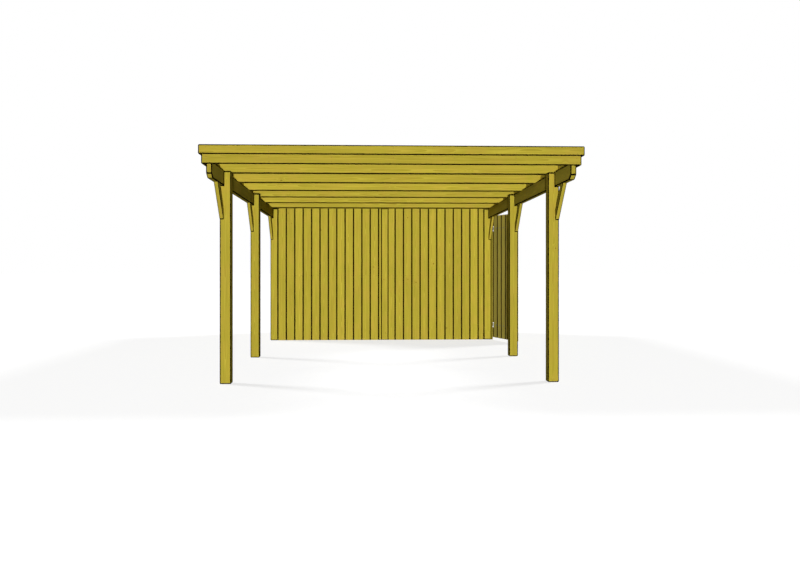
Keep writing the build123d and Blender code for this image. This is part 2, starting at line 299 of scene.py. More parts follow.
        relief = add_node(tree, "ShaderNodeMath", {0: rings, 1: 0.5, 2: fibre},
                          operation="MULTIPLY_ADD")
        bump = add_node(tree, "ShaderNodeBump",
                        {"Height": relief.outputs[0], "Strength": 0.25, "Distance": 0.6 * MM})
        rough = add_node(tree, "ShaderNodeMapRange",
                         {"Value": fibre, "To Min": self.roughness[0], "To Max": self.roughness[1]})
        shader = add_node(tree, "ShaderNodeBsdfPrincipled",
                          {"Base Color": shade_painted.outputs[2], "Roughness": rough.outputs[0],
                           "IOR": 1.45, "Specular IOR Level": 0.0, "Normal": bump.outputs[0]})
        add_node(tree, "ShaderNodeOutputMaterial", {"Surface": shader.outputs[0]})
        return material


@dataclass(frozen=True)
class CoatedSheet:
    """Roll-formed steel sheet with a baked grey polyester coat: low satin, with a faint orange peel
    and dust that the rain has washed into streaks down the fall."""

    name: str = "coated steel sheet"
    colour: str = "4A4D4E"
    dust: str = "6A6A62"
    peel_mm: float = 1.5
    streaks_per_m: tuple[float, float, float] = (9.0, 0.7, 3.0)     # across, along and up
    roughness: tuple[float, float] = (0.36, 0.62)

    def material(self) -> bpy.types.Material:
        """Builds the coat's node tree.

        Returns:
            The finished material.
        """
        material, tree = blank_material(self.name)
        place = add_node(tree, "ShaderNodeTexCoord").outputs["Object"]
        peel = add_node(tree, "ShaderNodeTexNoise",
                        {"Vector": place, "Scale": 1 / (self.peel_mm * MM), "Detail": 2.0})
        streak = add_node(tree, "ShaderNodeVectorMath", {0: place, 1: self.streaks_per_m},
                          operation="MULTIPLY")
        wash = add_node(tree, "ShaderNodeTexNoise",
                        {"Vector": streak.outputs[0], "Scale": 1.0, "Detail": 5.0})
        amount = add_node(tree, "ShaderNodeMapRange",
                          {"Value": wash.outputs["Fac"], "From Min": 0.35, "From Max": 0.75,
                           "To Min": 0.0, "To Max": 0.45})
        colour = add_node(tree, "ShaderNodeMix",
                          {0: amount.outputs[0], 6: linear(self.colour), 7: linear(self.dust)},
                          data_type="RGBA")
        rough = add_node(tree, "ShaderNodeMapRange",
                         {"Value": wash.outputs["Fac"], "To Min": self.roughness[0],
                          "To Max": self.roughness[1]})
        bump = add_node(tree, "ShaderNodeBump",
                        {"Height": peel.outputs["Fac"], "Strength": 0.12, "Distance": 0.2 * MM})
        shader = add_node(tree, "ShaderNodeBsdfPrincipled",
                          {"Base Color": colour.outputs[2], "Roughness": rough.outputs[0],
                           "Normal": bump.outputs[0]})
        add_node(tree, "ShaderNodeOutputMaterial", {"Surface": shader.outputs[0]})
        return material


@dataclass(frozen=True)
class ZincCoat:
    """Zinc-coated steel: hot-dip galvanised ironwork is weathered to a dull grey, matt and patched
    with spangles, while plated and passivated screws are a finer, dull yellow."""

    name: str = "hot-dip galvanised steel"
    bright: str = "8F9290"
    dull: str = "6F7474"
    spangle_mm: float = 7.0
    roughness: tuple[float, float] = (0.46, 0.68)

    def material(self) -> bpy.types.Material:
        """Builds the zinc's node tree.

        Returns:
            The finished material.
        """
        material, tree = blank_material(self.name)
        place = add_node(tree, "ShaderNodeTexCoord").outputs["Object"]
        spangle = add_node(tree, "ShaderNodeTexVoronoi",
                           {"Vector": place, "Scale": 1 / (self.spangle_mm * MM)})
        shade = add_node(tree, "ShaderNodeSeparateColor", {0: spangle.outputs["Color"]})
        colour = add_node(tree, "ShaderNodeMix",
                          {0: shade.outputs[0], 6: linear(self.bright), 7: linear(self.dull)},
                          data_type="RGBA")
        rough = add_node(tree, "ShaderNodeMapRange",
                         {"Value": shade.outputs[1], "To Min": self.roughness[0],
                          "To Max": self.roughness[1]})
        shader = add_node(tree, "ShaderNodeBsdfPrincipled",
                          {"Base Color": colour.outputs[2], "Roughness": rough.outputs[0],
                           "Metallic": 0.9})
        add_node(tree, "ShaderNodeOutputMaterial", {"Surface": shader.outputs[0]})
        return material


class Slot(Enum):
    """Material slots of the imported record."""

    TIMBER = "timber"
    ROOF_STEEL = "roof_steel"
    IRONWORK = "ironwork"


class Body(Enum):
    """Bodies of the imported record."""

    CARPORT = "carport"
    DOOR = "store_door"


class Grain(Enum):
    """Which way the grain runs, with the direction across the timber's wider face."""

    UPRIGHT = ((0, 0, 1), (1, 0, 0))
    UPRIGHT_SIDE = ((0, 0, 1), (0, 1, 0))
    LENGTHWISE = ((0, 1, 0), (0, 0, 1))
    CROSSWISE = ((1, 0, 0), (0, 0, 1))
    BRACE = ((0, 1, -1), (0, 1, 1))

    @property
    def axes(self) -> tuple[Vector, Vector]:
        """Unit directions along the grain and across it."""
        along, across = (Vector(direction).normalized() for direction in self.value)
        return along, across


class Materials:
    """The materials, each made once."""

    def __init__(self) -> None:
        """Builds every material of the carport."""
        self.timber = PlanedPine("planed green-treated pine").material()
        # the leaf's timber took up less of the treatment
        self.door = PlanedPine("planed green-treated pine, paler", early="BDB157", late="A69944",
                               warm="BAA551", knot="846E30").material()
        self.sheet = CoatedSheet().material()
        self.zinc = ZincCoat().material()
        self.plated = ZincCoat("yellow-passivated zinc plate", bright="9C8440", dull="7A662E",
                               spangle_mm=2.0, roughness=(0.5, 0.72)).material()


def span(node: str, direction: Vector) -> tuple[float, float]:
    """Measures how far a frame node reaches along a direction.

    Args:
        node: the frame node.
        direction: a unit direction.

    Returns:
        Its lowest and highest reach, in metres from the origin.
    """
    reaches = [vert.co.dot(direction) for vert in frame["nodes"][node].data.vertices]
    return min(reaches), max(reaches)


def middle_of(node: str) -> Vector:
    """Finds the middle of a frame node's box, in metres."""
    low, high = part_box(node)
    return (low + high) / 2


def put_in_scene(
    bm: bmesh.types.BMesh, name: str, material: bpy.types.Material, body: Body,
    replaced: tuple[str, ...] = (), smooth_under: float = 0.0,
) -> None:
    """Turns a mesh being made into a piece that rides on a body of the frame.

    Args:
        bm: the mesh, used up by this.
        name: the piece's name.
        material: its material.
        body: the body that it moves with.
        replaced: frame nodes that it stands for.
        smooth_under: edges that turn less than this many degrees are shaded smooth.
    """
    limit = math.radians(smooth_under)
    for face in bm.faces:
        face.smooth = smooth_under > 0
    for edge in bm.edges:
        edge.smooth = len(edge.link_faces) == 2 and edge.calc_face_angle(0.0) < limit
    mesh = bpy.data.meshes.new(name)
    bm.to_mesh(mesh)
    bm.free()
    mesh.materials.append(material)
    piece = bpy.data.objects.new(name, mesh)
    bpy.context.scene.collection.objects.link(piece)
    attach(piece, body.value)
    if replaced:
        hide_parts(*replaced)
    log.info("%s: %d faces", name, len(mesh.polygons))


class Workpiece:
    """Timber being made, with the layers that the wood's material reads."""

    log_run = 60.0          # metres of log that a timber may lie along
    off_centre = 0.35       # how far it may lie to the side of the pith, as a share of its distance
    lean = 0.7              # degrees by which its grain may run off
    end_tone = 0.92         # sawn ends drink more of the treatment and are darker

    def __init__(self, source: str = "") -> None:
        """Starts empty, or from a merged copy of a frame node.

        Args:
            source: the frame node to copy, if any.
        """
        self.bm = bmesh.new()
        self.grain = self.bm.verts.layers.float_vector.new("grain")
        # each face's own shade together with its painted light and shade
        self.tone_and_light = self.bm.faces.layers.float.new("tone_and_light")
        self.seam = self.bm.faces.layers.float.new("seam")
        if source:
            self.bm.from_mesh(frame["nodes"][source].data)
            bmesh.ops.remove_doubles(self.bm, verts=self.bm.verts, dist=WELD)
            bmesh.ops.dissolve_limit(self.bm, angle_limit=FLAT, verts=self.bm.verts,
                                     edges=self.bm.edges)

    def prism(self, outline: list[Vector], run: Vector) -> None:
        """Adds a solid: a flat outline swept along a straight run.

        Args:
            outline: the outline's corners in order.
            run: how far and which way it is swept.
        """
        end = self.bm.faces.new([self.bm.verts.new(corner) for corner in outline])
        swept = bmesh.ops.extrude_face_region(self.bm, geom=[end])
        moved = [part for part in swept["geom"] if isinstance(part, bmesh.types.BMVert)]
        bmesh.ops.translate(self.bm, verts=moved, vec=run)
        bmesh.ops.recalc_face_normals(self.bm, faces=self.bm.faces)

    def bar(self, low: Vector, high: Vector) -> None:
        """Adds a square-edged bar.

        Args:
            low: its lowest corner.
            high: its highest corner.
        """
        outline = [Vector((x, y, low.z)) for x, y in
                   ((low.x, low.y), (high.x, low.y), (high.x, high.y), (low.x, high.y))]
        self.prism(outline, Z * (high.z - low.z))

    def round_arrises(self, radius: float, shade_depth: float, shortest: float = 0.0) -> None:
        """Rounds every outer edge and paints shade on the rounding.

        Args:
            radius: how far the rounding reaches, in metres.
            shade_depth: how dark the painted shade on the rounding is, from 0 to 1.
            shortest: edges under this length stay sharp.
        """
        edges = [edge for edge in self.bm.edges
                 if len(edge.link_faces) == 2 and edge.is_convex and edge.calc_length() >= shortest]
        made = bmesh.ops.bevel(self.bm, geom=edges, offset=radius, segments=ARRIS_STEPS,
                               profile=0.5, affect="EDGES", clamp_overlap=True, material=-1)
        # the rounding gets painted shade
        for face in made["faces"]:
            face[self.seam] = shade_depth

    def paint_foot_shade(self, height: float, shade_depth: float) -> None:
        """Paints shade on the lowest strip of each solid, as a dark line along its cut foot.

        Args:
            height: how high the strip is, in metres.
            shade_depth: how dark the painted shade is, from 0 to 1.
        """
        for corners in self.solids():
            level = min(vert.co.z for vert in corners) + height
            edges = dict.fromkeys(edge for vert in corners for edge in vert.link_edges)
            faces = dict.fromkeys(face for vert in corners for face in vert.link_faces)
            bmesh.ops.bisect_plane(self.bm, geom=[*corners, *edges, *faces], dist=WELD,
                                   plane_co=Z * level, plane_no=Z)
        for corners in self.solids():
            level = min(vert.co.z for vert in corners) + height
            for face in dict.fromkeys(face for vert in corners for face in vert.link_faces):
                if face.calc_center_median().z < level:
                    face[self.seam] = shade_depth

    def solids(self) -> list[list[bmesh.types.BMVert]]:
        """Groups the corners by the solid that they belong to.

        Returns:
            One list of corners for each solid.
        """
        for vert in self.bm.verts:
            vert.tag = False
        groups = []
        for seed in self.bm.verts:
            if seed.tag:
                continue
            seed.tag = True
            group = [seed]
            for vert in group:
                for edge in vert.link_edges:
                    other = edge.other_vert(vert)
                    if not other.tag:
                        other.tag = True
                        group.append(other)
            groups.append(group)
        return groups

    def lay_grain(
        self, axes: tuple[Vector, Vector], dice: random.Random, pith: float, spread: float,
        tone: float = 1.0,
    ) -> None:
        """Places each solid in the log it was sawn from, and gives it its own shade.

        Args:
            axes: directions along the grain and across the wider face.
            dice: the seeded source of chance.
            pith: distance from the timber's middle to the log's pith, in metres.
            spread: how much lighter or darker than its neighbours it may be.
            tone: painted light on its long sides, where 1 is the wood's own colour and under 1 is
                painted shade.
        """
        along, across = axes
        through = along.cross(across)
        for corners in self.solids():
            middle = sum((vert.co for vert in corners), Vector()) / len(corners)
            start = dice.uniform(0, self.log_run)
            sideways = dice.uniform(-self.off_centre, self.off_centre) * pith
            lean = [math.radians(dice.uniform(-self.lean, self.lean)) for _ in range(2)]
            shade = 1 + dice.uniform(-spread, spread)
            for vert in corners:
                offset = vert.co - middle
                run = offset.dot(along)
                vert[self.grain] = (
                    run + start,
                    offset.dot(across) + sideways + run * lean[0],
                    offset.dot(through) + pith + run * lean[1],
                )
                for face in vert.link_faces:
                    # long sides get the painted light factor, sawn ends their own darker shade
                    end = abs(face.normal.dot(along)) > END_CUT
                    face[self.tone_and_light] = shade * (self.end_tone if end else tone)

    def paint_light_by_facing(self, facing: Vector, tone: float) -> None:
        """Paints light or shade on the flat faces that look one way.

        Args:
            facing: the unit direction that they look in.
            tone: the factor of painted light on them, where under 1 is painted shade.
        """
        for face in self.bm.faces:
            if face.normal.dot(facing) > FACING:
                face[self.tone_and_light] *= tone

    def take_in(self, other: "Workpiece") -> None:
        """Adds another workpiece's mesh to this one.

        Args:
            other: the workpiece that is used up.
        """
        mesh = bpy.data.meshes.new("passing")
        other.bm.to_mesh(mesh)
        other.bm.free()
        self.bm.from_mesh(mesh)
        bpy.data.meshes.remove(mesh)


class Head(Enum):
    """Fastener heads, each as stacks of turned outlines: (sides, [(radius, height), ...]) in mm,
    with height measured out from the surface that the head sits on."""

    COUNTERSUNK = ((12, ((0, -0.9), (1.9, -0.9), (2.1, 0.3), (4.2, 0.3), (4.7, -0.2), (4.7, -1.5),
                         (0, -1.5))),)
    TIMBER_SCREW = ((14, ((0, 1.6), (2.9, 1.6), (3.1, 4.2), (5.4, 4.2), (6.4, 2.6), (10.0, 1.2),
                          (10.5, 0.2), (10.5, -1.0), (0, -1.0))),)
    ROOF_SCREW = ((14, ((0, 1.7), (7.6, 1.3), (8.0, 0.6), (8.0, -0.4), (0, -0.4))),
                  (6, ((0, 6.0), (3.7, 6.0), (4.6, 5.4), (4.6, 1.2), (0, 1.2))))
    CUP = ((16, ((0, 4.6), (4.0, 4.2), (7.6, 3.0), (10.0, 1.3), (10.6, 0.0), (10.6, -1.0),
                 (0, -1.0))),)
    NUT = ((14, ((0, 1.8), (9.6, 1.8), (10.0, 1.4), (10.0, -0.5), (0, -0.5))),
           (6, ((0, 8.0), (6.2, 8.0), (7.4, 7.2), (7.4, 1.5), (0, 1.5))),
           (10, ((0, 11.0), (3.2, 11.0), (4.0, 10.2), (4.0, 7.0), (0, 7.0))))
    ROSE = ((20, ((0, 2.6), (11.0, 2.6), (14.0, 1.4), (14.6, 0.4), (14.6, -0.5), (0, -0.5))),)


@dataclass
class Fixings:
    """Screws, bolts and nuts: gathered while the timbers are made, and built as joined meshes."""

    materials: Materials
    turn: float = 0.7       # radians from one head to the next, as no two are driven alike
    spots: dict[tuple[Head, Body], list[tuple[Vector, Vector]]] = field(default_factory=dict)

    def add(self, head: Head, place: Vector, outward: Vector, body: Body = Body.CARPORT) -> None:
        """Notes one fastener.

        Args:
            head: its kind.
            place: where it meets the surface.
            outward: the direction that its head looks in.
            body: the body that it moves with.
        """
        self.spots.setdefault((head, body), []).append((place.copy(), outward.normalized()))

    def pattern(self, head: Head) -> bpy.types.Mesh:
        """Turns one head on a lathe.

        Args:
            head: its kind.

        Returns:
            A mesh that stands on the origin and looks along Z.
        """
        bm = bmesh.new()
        for sides, outline in head.value:
            verts = [bm.verts.new((radius * MM, 0, height * MM)) for radius, height in outline]
            edges = [bm.edges.new(pair) for pair in zip(verts, verts[1:])]
            bmesh.ops.spin(bm, geom=verts + edges, cent=(0, 0, 0), axis=(0, 0, 1),
                           angle=math.tau, steps=sides, use_merge=True)
        bmesh.ops.remove_doubles(bm, verts=bm.verts, dist=WELD)
        bmesh.ops.recalc_face_normals(bm, faces=bm.faces)
        mesh = bpy.data.meshes.new(head.name)
        bm.to_mesh(mesh)
        bm.free()
        return mesh

    def build(self) -> None:
        """Stamps every noted fastener, one piece for each kind and body."""
        for (head, body), spots in self.spots.items():
            pattern = self.pattern(head)
            bm = bmesh.new()
            for number, (place, outward) in enumerate(spots):
                known = len(bm.verts)
                bm.from_mesh(pattern)
                bm.verts.ensure_lookup_table()
                turn = Matrix.Rotation(number * self.turn, 4, "Z")
                stand = outward.to_track_quat("Z", "Y").to_matrix().to_4x4()
                bmesh.ops.transform(bm, matrix=Matrix.Translation(place) @ stand @ turn,
                                    verts=bm.verts[known:])
            plated = head in (Head.COUNTERSUNK, Head.TIMBER_SCREW)
            finish = self.materials.plated if plated else self.materials.zinc
            put_in_scene(bm, f"{body.value}_{head.name.lower()}s", finish, body,
                         smooth_under=SMOOTH_IRON)
            bpy.data.meshes.remove(pattern)


@dataclass(frozen=True)
class Dressing:
    """How one kind of timber is sawn and planed, and how much light or shade is painted on it."""

    grain: Grain
    pith: float                     # from the timber's middle to the log's pith, in metres
    arris: float = 11 * MM          # how far the arrises are rounded
    tone: float = 1.0               # painted light on the long sides: 1 is the wood's own colour, under 1 painted shade
    shortest: float = 0.0           # edges under this length stay sharp
    foot: float = 0.0               # height of a strip of painted shade at the lower end
    bay_side_shaded: bool = False            # whether the side that looks into the bay gets painted shade


@dataclass
class Frame:
    """Posts, purlins, braces, rafters and fascia: planed sections with rounded arrises darkened by
    painted shade.
    """

    materials: Materials
    fixings: Fixings
    post: Dressing = Dressing(Grain.UPRIGHT, 18 * MM, bay_side_shaded=True)
    # painted light: the braces' long sides are lighter, as their sloping fronts turn from the light
    brace: Dressing = Dressing(Grain.BRACE, 45 * MM, 6.5 * MM, 1.08, foot=12 * MM, bay_side_shaded=True)
    # painted shade: the purlins' long sides are darker, for the shade on their inner faces
    purlin: Dressing = Dressing(Grain.LENGTHWISE, 60 * MM, tone=0.92, bay_side_shaded=True)
    rafter: Dressing = Dressing(Grain.CROSSWISE, 50 * MM, shortest=1.0)
    end_fascia: Dressing = Dressing(Grain.CROSSWISE, 70 * MM)
    side_fascia: Dressing = Dressing(Grain.LENGTHWISE, 70 * MM)
    # how dark the painted shade on the arrises and the braces' feet is
    shade_depth: float = 1.0
    spread: float = 0.05            # how much one timber's shade may differ from the next
    bay_painted_shade: float = 0.72          # painted shade on the sides that look into the bay
    nose_painted_light: float = 1.32         # painted light on the cut under the purlins' noses
    purlin_screws: tuple[float, float] = (70 * MM, 125 * MM)    # above the purlin's underside
    purlin_screw_inset: float = 40 * MM     # from the sides of the post
    # from the brace's end to the first screw, and as far again to the second
    brace_screw_inset: float = 45 * MM
    brace_screws_apart: float = 22 * MM     # across the brace
    fascia_shown: float = 91 * MM   # height of the lower fascia that the upper one leaves bare
    fascia_pairs: int = 7           # pairs of screws across the front and the back
    pair_step: float = 0.6          # from pair to pair
    screw_rise: float = 22 * MM     # each screw of a pair, above and below the middle
    dice: random.Random = field(default_factory=lambda: random.Random(41))

    def plane(self, piece: Workpiece, made: Dressing) -> None:
        """Rounds the arrises of a workpiece, paints shade on them and lays its grain.

        Args:
            piece: the workpiece.
            made: how its timbers are dressed.
        """
        piece.round_arrises(made.arris, self.shade_depth, made.shortest)
        if made.foot:
            piece.paint_foot_shade(made.foot, self.shade_depth)
        piece.lay_grain(made.grain.axes, self.dice, made.pith, self.spread, made.tone)

    def dress(
        self, node: str, made: Dressing, painted_light_by_facing: tuple[tuple[Vector, float], ...] = ()
    ) -> None:
        """Makes the timbers of one frame node.

        Args:
            node: the frame node.
            made: how they are dressed.
            painted_light_by_facing: directions with the factor of painted light or shade on the faces
                that look there.
        """
        piece = Workpiece(node)
        self.plane(piece, made)
        for facing, factor in painted_light_by_facing:
            piece.paint_light_by_facing(facing, factor)
        put_in_scene(piece.bm, f"{node}_timber", self.materials.timber, Body.CARPORT,
                     (node,), smooth_under=SMOOTH_WOOD)

    def dressing_of(self, node: str) -> Dressing | None:
        """Picks the dressing of a frame node.

        Args:
            node: the frame node.

        Returns:
            Its dressing, or None where another sub-assembly makes it.
        """
        kinds = {"_post_": self.post, "_braces": self.brace, "_purlin": self.purlin,
                 "rafter_": self.rafter, "front_": self.end_fascia, "back_upper_": self.end_fascia,
                 "back_lower_": self.end_fascia, "_fascia": self.side_fascia}
        return next((made for mark, made in kinds.items() if mark in node), None)

    def screw_purlins(self) -> None:
        """Two timber screws through each purlin into each post."""
        low_screw, high_screw = self.purlin_screws
        for side, out in SIDES:
            purlin_low, purlin_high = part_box(f"{side}_purlin")
            face = out * span(f"{side}_purlin", out)[1]
            for index in range(1, POSTS + 1):
                low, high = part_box(f"{side}_post_{index}")
                bottom = purlin_high.z - FALL * (low.y - purlin_low.y) - PURLIN_H
                for y, z in ((low.y + self.purlin_screw_inset, bottom + high_screw),
                             (high.y - self.purlin_screw_inset, bottom + low_screw)):
                    self.fixings.add(Head.TIMBER_SCREW, face + Y * y + Z * z, out)

    def screw_braces(self) -> None:
        """Two screws at each end of each brace, driven through its sloping underside."""
        inset, aside = self.brace_screw_inset, self.brace_screws_apart / 2
        for side, _ in SIDES:
            piece = Workpiece(f"{side}_braces")
            for corners in piece.solids():
                ys, zs = [vert.co.y for vert in corners], [vert.co.z for vert in corners]
                tip = Vector((0, min(ys), max(zs)))
                toe = Vector((0, max(ys), min(zs)))
                down = (toe - tip).normalized()
                outward = Vector((0, down.z, -down.y))
                middle = sum(vert.co.x for vert in corners) / len(corners)
                for start, step in ((tip, down), (toe, -down)):
                    for reach, x in ((inset, middle - aside), (inset * 2, middle + aside)):
                        self.fixings.add(Head.COUNTERSUNK, start + step * reach + X * x, outward)
            piece.bm.free()

    def fascia_screws(self, spot: Vector, height: float, outward: Vector) -> None:
        """Two screws one above the other in a fascia board, or one in a narrow board.

        Args:
            spot: a point on the lower edge of the board's face.
            height: how high the board is.
            outward: the direction that its face looks in.
        """
        shown = min(height, self.fascia_shown)
        rows = (0.0,) if shown < 3 * self.screw_rise else (-self.screw_rise, self.screw_rise)
        for row in rows:
            self.fixings.add(Head.COUNTERSUNK, spot + Z * (shown / 2 + row), outward)

    def screw_fascia(self) -> None:
        """Screws the fascia to the first and last rafters and to the ends of all of them."""
        for layer in ("upper", "lower"):
            for end, out in (("front", -Y), ("back", Y)):
                low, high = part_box(f"{end}_{layer}_fascia")
                edge = out * span(f"{end}_{layer}_fascia", out)[1] + Z * low.z
                for index in range(self.fascia_pairs):
                    x = (index - (self.fascia_pairs - 1) / 2) * self.pair_step
                    self.fascia_screws(edge + X * x, high.z - low.z, out)
            for side, out in SIDES:
                low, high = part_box(f"{side}_{layer}_fascia")
                edge = out * span(f"{side}_{layer}_fascia", out)[1]
                height = high.z - low.z - FALL * (high.y - low.y)
                for index in range(RAFTERS):
                    y = middle_of(f"rafter_{index}").y
                    bottom = high.z - height - FALL * (y - low.y)
                    self.fascia_screws(edge + Y * y + Z * bottom, height, out)

    def build(self) -> None:
        """Dresses every timber of the open frame and the roof."""
        # painted light on the nose cut, whose face looks square to the cut, so down and to the front
        nose = (Vector((0, -NOSE_RISE, -NOSE_RUN)).normalized(), self.nose_painted_light)
        for node in sorted(frame["nodes"]):
            made = self.dressing_of(node)
            if made is None:
                continue
            # painted shade on the side that looks into the bay
            bay = (X if node.startswith("left_") else -X, self.bay_painted_shade)
            painted_light_by_facing = (bay,) if made.bay_side_shaded else ()
            # and painted light on the cut under the purlins' noses
            if made is self.purlin:
                painted_light_by_facing += (nose,)
            self.dress(node, made, painted_light_by_facing)
        self.screw_purlins()
        self.screw_braces()
        self.screw_fascia()


@dataclass
class StoreFrame(Frame):
    """Sole plates, rails, studs, door jamb and stops of the store."""

    rail: Dressing = Dressing(Grain.CROSSWISE, 45 * MM, 5.4 * MM)
    stud: Dressing = Dressing(Grain.UPRIGHT, 45 * MM, 5.4 * MM)
    side_rail: Dressing = Dressing(Grain.LENGTHWISE, 45 * MM)
    jamb: Dressing = Dressing(Grain.UPRIGHT_SIDE, 45 * MM)
    stop: Dressing = Dressing(Grain.UPRIGHT_SIDE, 40 * MM, 1.5 * MM)
    # painted shade: the strip is darkened as a side in shade
    strip: Dressing = Dressing(Grain.UPRIGHT, 40 * MM, 1.5 * MM, tone=0.55)
    strip_proud: float = 5.5 * MM   # of the cover strip past the stop behind it
    dice: random.Random = field(default_factory=lambda: random.Random(23))

    def panel(self, node: str, name: str, skin: float, inward: Vector, stud_face: float) -> None:
        """Frames a boarded wall: plates and rails on both sides of a stud.

        Args:
            node: the frame node.
            name: the piece's name.
            skin: where the boards' inner face is, along inward.
            inward: from the boards into the store.
            stud_face: where the stud's outer face is, along inward.
        """
        low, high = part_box(node)
        stud_low, stud_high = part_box("wall_boards_left")[1].x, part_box("wall_boards_right")[0].x
        levels = ((0.0, RAIL_T, RAIL_W), (MIDDLE_RAIL, MIDDLE_RAIL + RAIL_W, RAIL_T),
                  (high.z - RAIL_W, high.z, RAIL_T))
        rails = Workpiece()
        for start, end in ((low.x, stud_low), (stud_high, high.x)):
            for bottom, top, depth in levels:
                near, far = sorted((inward.y * skin, inward.y * (skin + depth)))
                rails.bar(Vector((start, near, bottom)), Vector((end, far, top)))
        stud = Workpiece()
        near, far = sorted((inward.y * stud_face, inward.y * (skin + RAIL_W)))
        stud.bar(Vector((stud_low, near, 0)), Vector((stud_high, far, high.z)))
        self.plane(rails, self.rail)
        self.plane(stud, self.stud)
        rails.take_in(stud)
        put_in_scene(rails.bm, name, self.materials.timber, Body.CARPORT, (node,),
                     smooth_under=SMOOTH_WOOD)

    def cover_strip(self) -> None:
        """A narrow strip between the third right-hand post's front and the hinge-side stop. It
        covers the gap between the stop and the open leaf, as seen from the front."""
        post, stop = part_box("right_post_3"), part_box("door_stops")
        piece = Workpiece()
        piece.bar(Vector((stop[0].x, post[0].y, 0)),
                  Vector((stop[1].x + self.strip_proud, stop[0].y, stop[1].z)))
        self.plane(piece, self.strip)
        put_in_scene(piece.bm, "hinge_cover_strip", self.materials.timber, Body.CARPORT)

    def build(self) -> None:
        """Frames the partition and the back, and dresses the sides' timbers."""
        front = span("wall_boards_left", Y)
        self.panel("wall_frame", "partition_framing", front[1], Y, front[0])
        back = span("back_boards", -Y)
        self.panel("back_frame", "back_wall_framing", back[1], -Y, back[1])
        self.dress("door_jamb", self.jamb)
        self.dress("door_stops", self.stop)
        self.cover_strip()
        for side, _ in SIDES:
            self.dress(f"{side}_side_rails", self.side_rail)


@dataclass
class Cladding:
    """Upright boards with a shadow joint between them: each has rebated edges, so that its face
    is narrower than its back. The joints' hollows are darkened with painted shade."""

    materials: Materials
    fixings: Fixings
    pitch: float = 135.7 * MM       # from board to board
    joint: float = 18 * MM          # width of the shadow joint
    joint_depth: float = 11 * MM
    ease: float = 2.5 * MM          # eased edges of the face
    back_ease: float = 1.5 * MM     # and of the back
    narrowest: float = 12 * MM      # last board of a panel
    # how dark the painted shade in the joints and on the back edges is
    shade_depth: float = 0.97
    shade: float = 0.06             # how much one board's shade may differ from the next
    pith_mm: tuple[float, float] = (25.0, 70.0)     # nearest and farthest from the log's pith
    screw_inset: float = 30 * MM    # from a board's edges
    dice: random.Random = field(default_factory=lambda: random.Random(7))

    def board(
        self, low: float, high: float, back: float, front: float, across: Vector, outward: Vector,
        foot: float, top: tuple[float, float], plain_start: bool = False,
    ) -> Workpiece:
        """Makes one board from its section.

        Args:
            low: where the board starts, measured along across.
            high: where it ends.
            back: its back face, measured along outward.
            front: its front face, measured along outward.
            across: direction from board to board.
            outward: direction that its face looks in.
            foot: height of its lower end.
            top: heights of its upper end at low and at high.
            plain_start: whether the edge at low is left square, as at the end of a panel.

        Returns:
            The board.
        """
        half = min(self.joint / 2, (high - low) / 4)    # a narrow board keeps half its face
        shoulder = front - self.joint_depth
        rear = back + self.back_ease
        section = [
            (low + self.back_ease, back), (high - self.back_ease, back), (high, rear),
            (high, shoulder), (high - half, shoulder), (high - half, front - self.ease),
            (high - half - self.ease, front),
        ]
        if plain_start:
            section += [(low, front)]
        else:
            section += [(low + half + self.ease, front), (low + half, front - self.ease),
                        (low + half, shoulder), (low, shoulder)]
        section.append((low, rear))
        piece = Workpiece()
        swept = 1.0     # a metre up, and the upper end is moved to its height
        piece.prism([across * u + outward * v + Z * foot for u, v in section], Z * swept)
        for vert in piece.bm.verts:
            if vert.co.z > foot + swept / 2:
                share = (vert.co.dot(across) - low) / (high - low)
                vert.co.z = top[0] + share * (top[1] - top[0])
        # the joints' hollows and the back edges get painted shade
        for face in piece.bm.faces:
            depths = [vert.co.dot(outward) for vert in face.verts]
            level = max(depths) - min(depths) < WELD
            in_joint = min(depths) > shoulder - WELD and not (level and max(depths) > front - WELD)
            at_back = max(depths) < rear + WELD and not level
            square = plain_start and face.calc_center_median().dot(across) < low + WELD
            if (in_joint or at_back) and not square:
                face[piece.seam] = self.shade_depth
        return piece

    def wall(
        self, node: str, name: str, across: Vector, outward: Vector, edges: list[float],
        slope: float = 0.0,
    ) -> None:
        """Builds a panel of boards in place of a frame node.

        Args:
            node: the frame node.
            name: the piece's name.
            across: direction from board to board.
            outward: direction that the faces look in.
            edges: where the boards meet, measured along across, the panel's ends included.
            slope: how much the upper ends drop for each metre along across.
        """
        low_corner, high_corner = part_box(node)
        back, front = span(node, outward)
        panel = Workpiece()
        for low, high in zip(edges, edges[1:]):
            tops = tuple(high_corner.z - slope * (place - edges[0]) for place in (low, high))
            board = self.board(low, high, back, front, across, outward, low_corner.z, tops)
            board.lay_grain((Z, across), self.dice, self.dice.uniform(*self.pith_mm) * MM, self.shade)
            panel.take_in(board)
            places = ((low + high) / 2,)
            if high - low > 3 * self.screw_inset:
                places = (low + self.screw_inset, high - self.screw_inset)
            for level in (RAIL_T / 2, MIDDLE_RAIL + RAIL_W / 2, min(tops) - RAIL_W / 2):
                for place in places:
                    self.fixings.add(Head.COUNTERSUNK, across * place + outward * front + Z * level,
                                     outward)
        put_in_scene(panel.bm, name, self.materials.timber, Body.CARPORT, (node,))

    def joints(self, low: float, high: float, first: float = 0.0) -> list[float]:
        """Places board joints at the common pitch.

        Args:
            low: where the panel starts.
            high: where it ends.
            first: width of the first board, or 0 for a full one.

        Returns:
            The joints, with both ends.
        """
        edges = [low]
        place = low + (first or self.pitch)
        while place < high - self.narrowest:
            edges.append(place)
            place += self.pitch
        return edges + [high]

    def build(self) -> None:
        """Builds the partition, the side walls and the back wall."""
        for node, name, outward, first_board in (
            ("wall_boards_left", "partition_boards_left", -Y, 136 * MM),
            ("wall_boards_right", "partition_boards_right", -Y, 118 * MM),
            ("back_boards", "back_wall_boards", Y, 110 * MM),
        ):
            self.wall(node, name, X, outward, self.joints(*span(node, X), first_board))
        for side, outward in SIDES:
            node = f"{side}_side_boards"
            self.wall(node, f"{node}_cut", Y, outward, self.joints(*span(node, Y)), slope=FALL)


